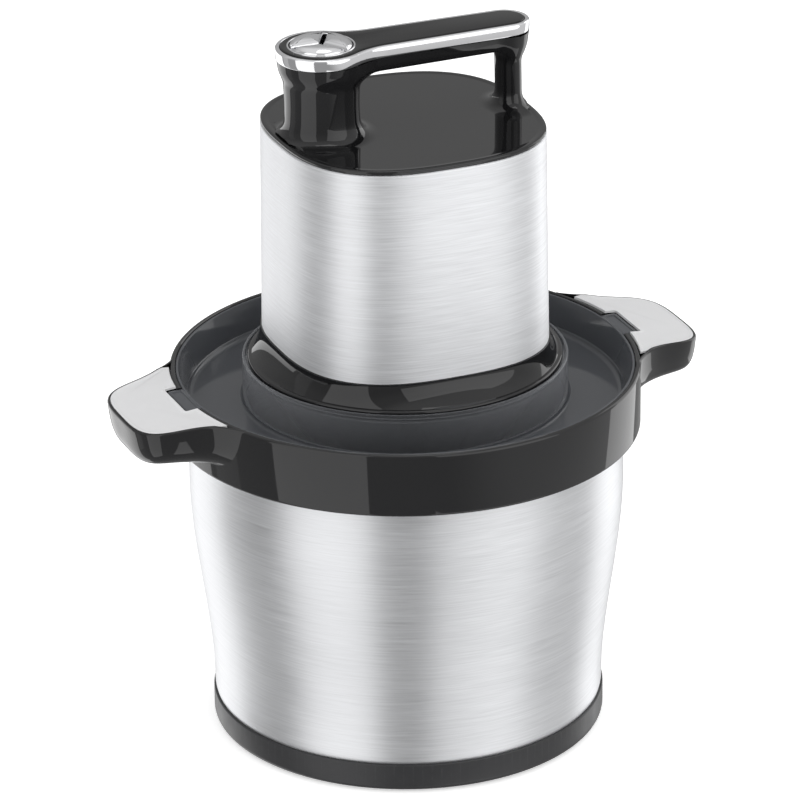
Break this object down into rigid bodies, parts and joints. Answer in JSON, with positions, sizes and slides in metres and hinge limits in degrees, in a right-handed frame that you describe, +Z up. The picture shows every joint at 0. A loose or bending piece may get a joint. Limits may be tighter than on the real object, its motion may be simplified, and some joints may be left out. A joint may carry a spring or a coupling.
{
  "type": "electric food chopper",
  "caption": "Tabletop chopper: a steel bowl with a black collar and ears, a smoked lid, swept blades, and a steel-sleeved motor head with a carry handle and top buttons.",
  "frame": {"origin": "centre of the foot, on the surface that the chopper stands on", "axes": "+Z up along the drive axis, X along the handle and the two ears, -Y towards the front"},
  "size_m": [0.3244, 0.25, 0.391],
  "materials": {
    "steel_brushed": "brushed",
    "black_gloss": "gloss",
    "black_satin": "satin",
    "smoked": "gloss",
    "silver_satin": "satin",
    "chrome": "polished",
    "rubber": "matte",
    "bronze": "sintered",
    "blade_steel": "ground",
    "acetal": "satin",
    "laminations": "satin",
    "die_cast": "cast",
    "copper_wire": "enamelled",
    "board": "solder mask",
    "carbon": "matte",
    "gear_steel": "machined"
  },
  "bodies": {
    "bowl": {"bowl_shell": "steel_brushed", "bowl_collar": "black_gloss", "ear_plates": "silver_satin", "base_ring": "black_satin", "base_pad": "rubber", "spindle": "gear_steel", "spindle_nut": "gear_steel", "thrust_washer": "acetal"},
    "blade_unit": {"blade_hub": "black_satin", "hub_bushes": "bronze", "lower_blade": "blade_steel", "blade_spacer": "black_satin", "upper_blade": "blade_steel", "blade_nut": "black_satin"},
    "lid": {"lid_wall": "smoked", "lid_floor": "smoked", "lid_neck": "smoked", "lid_seal": "rubber", "hub_seal": "rubber"},
    "motor_head": {"head_base": "black_gloss", "head_sleeve": "steel_brushed", "head_cap": "black_gloss", "handle_trim": "chrome", "handle_top": "black_gloss", "button_bezel": "chrome", "switch_board": "board", "tact_switches": "black_satin", "motor_stator": "laminations", "field_coils": "copper_wire", "top_bracket": "black_satin", "top_bearing": "gear_steel", "brush_holders": "bronze", "carbon_brushes": "carbon", "gearbox_housing": "die_cast", "ring_gear": "acetal", "motor_plate": "die_cast", "shaft_bearings": "gear_steel", "control_board": "board", "cord_gland": "rubber", "tie_screws": "gear_steel", "motor_screws": "gear_steel", "gearbox_screws": "gear_steel", "spring_right": "gear_steel", "spring_rear": "gear_steel", "spring_front": "gear_steel"},
    "right_button": {"button_right": "chrome"},
    "rear_button": {"button_rear": "chrome"},
    "front_button": {"button_front": "chrome"},
    "rotor": {"rotor_shaft": "gear_steel", "armature_core": "laminations", "armature_windings": "copper_wire", "commutator": "copper_wire", "cooling_fan": "black_satin", "sun_gear": "gear_steel"},
    "output": {"planet_carrier": "gear_steel", "planet_pins": "gear_steel", "drive_socket": "gear_steel"},
    "planet_gear_1": {"planet_1": "acetal"},
    "planet_gear_2": {"planet_2": "acetal"},
    "planet_gear_3": {"planet_3": "acetal"}
  },
  "joints": [
    {"name": "lid_lift", "type": "slide", "parent": "bowl", "child": "lid", "axis": [0, 0, 1], "range_m": [0, 0.12]},
    {"name": "head_lift", "type": "slide", "parent": "lid", "child": "motor_head", "axis": [0, 0, 1], "range_m": [0, 0.12]},
    {"name": "blade_spin", "type": "hinge", "parent": "bowl", "child": "blade_unit", "pos_m": [0, 0, 0.05], "axis": [0, 0, 1], "continuous": true},
    {"name": "output_spin", "type": "hinge", "parent": "motor_head", "child": "output", "pos_m": [0, 0, 0.2], "axis": [0, 0, 1], "continuous": true},
    {"name": "rotor_spin", "type": "hinge", "parent": "motor_head", "child": "rotor", "pos_m": [0, 0, 0.26], "axis": [0, 0, 1], "continuous": true},
    {"name": "planet_spin_1", "type": "hinge", "parent": "output", "child": "planet_gear_1", "pos_m": [0.01875, 0, 0.212], "axis": [0, 0, 1], "continuous": true},
    {"name": "planet_spin_2", "type": "hinge", "parent": "output", "child": "planet_gear_2", "pos_m": [-0.00937, 0.01624, 0.212], "axis": [0, 0, 1], "continuous": true},
    {"name": "planet_spin_3", "type": "hinge", "parent": "output", "child": "planet_gear_3", "pos_m": [-0.00937, -0.01624, 0.212], "axis": [0, 0, 1], "continuous": true},
    {"name": "right_button_press", "type": "slide", "parent": "motor_head", "child": "right_button", "axis": [0, 0, -1], "range_m": [0, 0.002], "stiffness_N_per_m": 450, "springref_m": -0.002, "deforming": ["spring_right"]},
    {"name": "rear_button_press", "type": "slide", "parent": "motor_head", "child": "rear_button", "axis": [0, 0, -1], "range_m": [0, 0.002], "stiffness_N_per_m": 450, "springref_m": -0.002, "deforming": ["spring_rear"]},
    {"name": "front_button_press", "type": "slide", "parent": "motor_head", "child": "front_button", "axis": [0, 0, -1], "range_m": [0, 0.002], "stiffness_N_per_m": 450, "springref_m": -0.002, "deforming": ["spring_front"]}
  ],
  "couplings": [
    {"joint": "rotor_spin", "follows": "output_spin", "ratio": 5},
    {"joint": "blade_spin", "follows": "output_spin", "ratio": 1},
    {"joint": "planet_spin_1", "follows": "output_spin", "ratio": -2.6667},
    {"joint": "planet_spin_2", "follows": "output_spin", "ratio": -2.6667},
    {"joint": "planet_spin_3", "follows": "output_spin", "ratio": -2.6667}
  ]
}
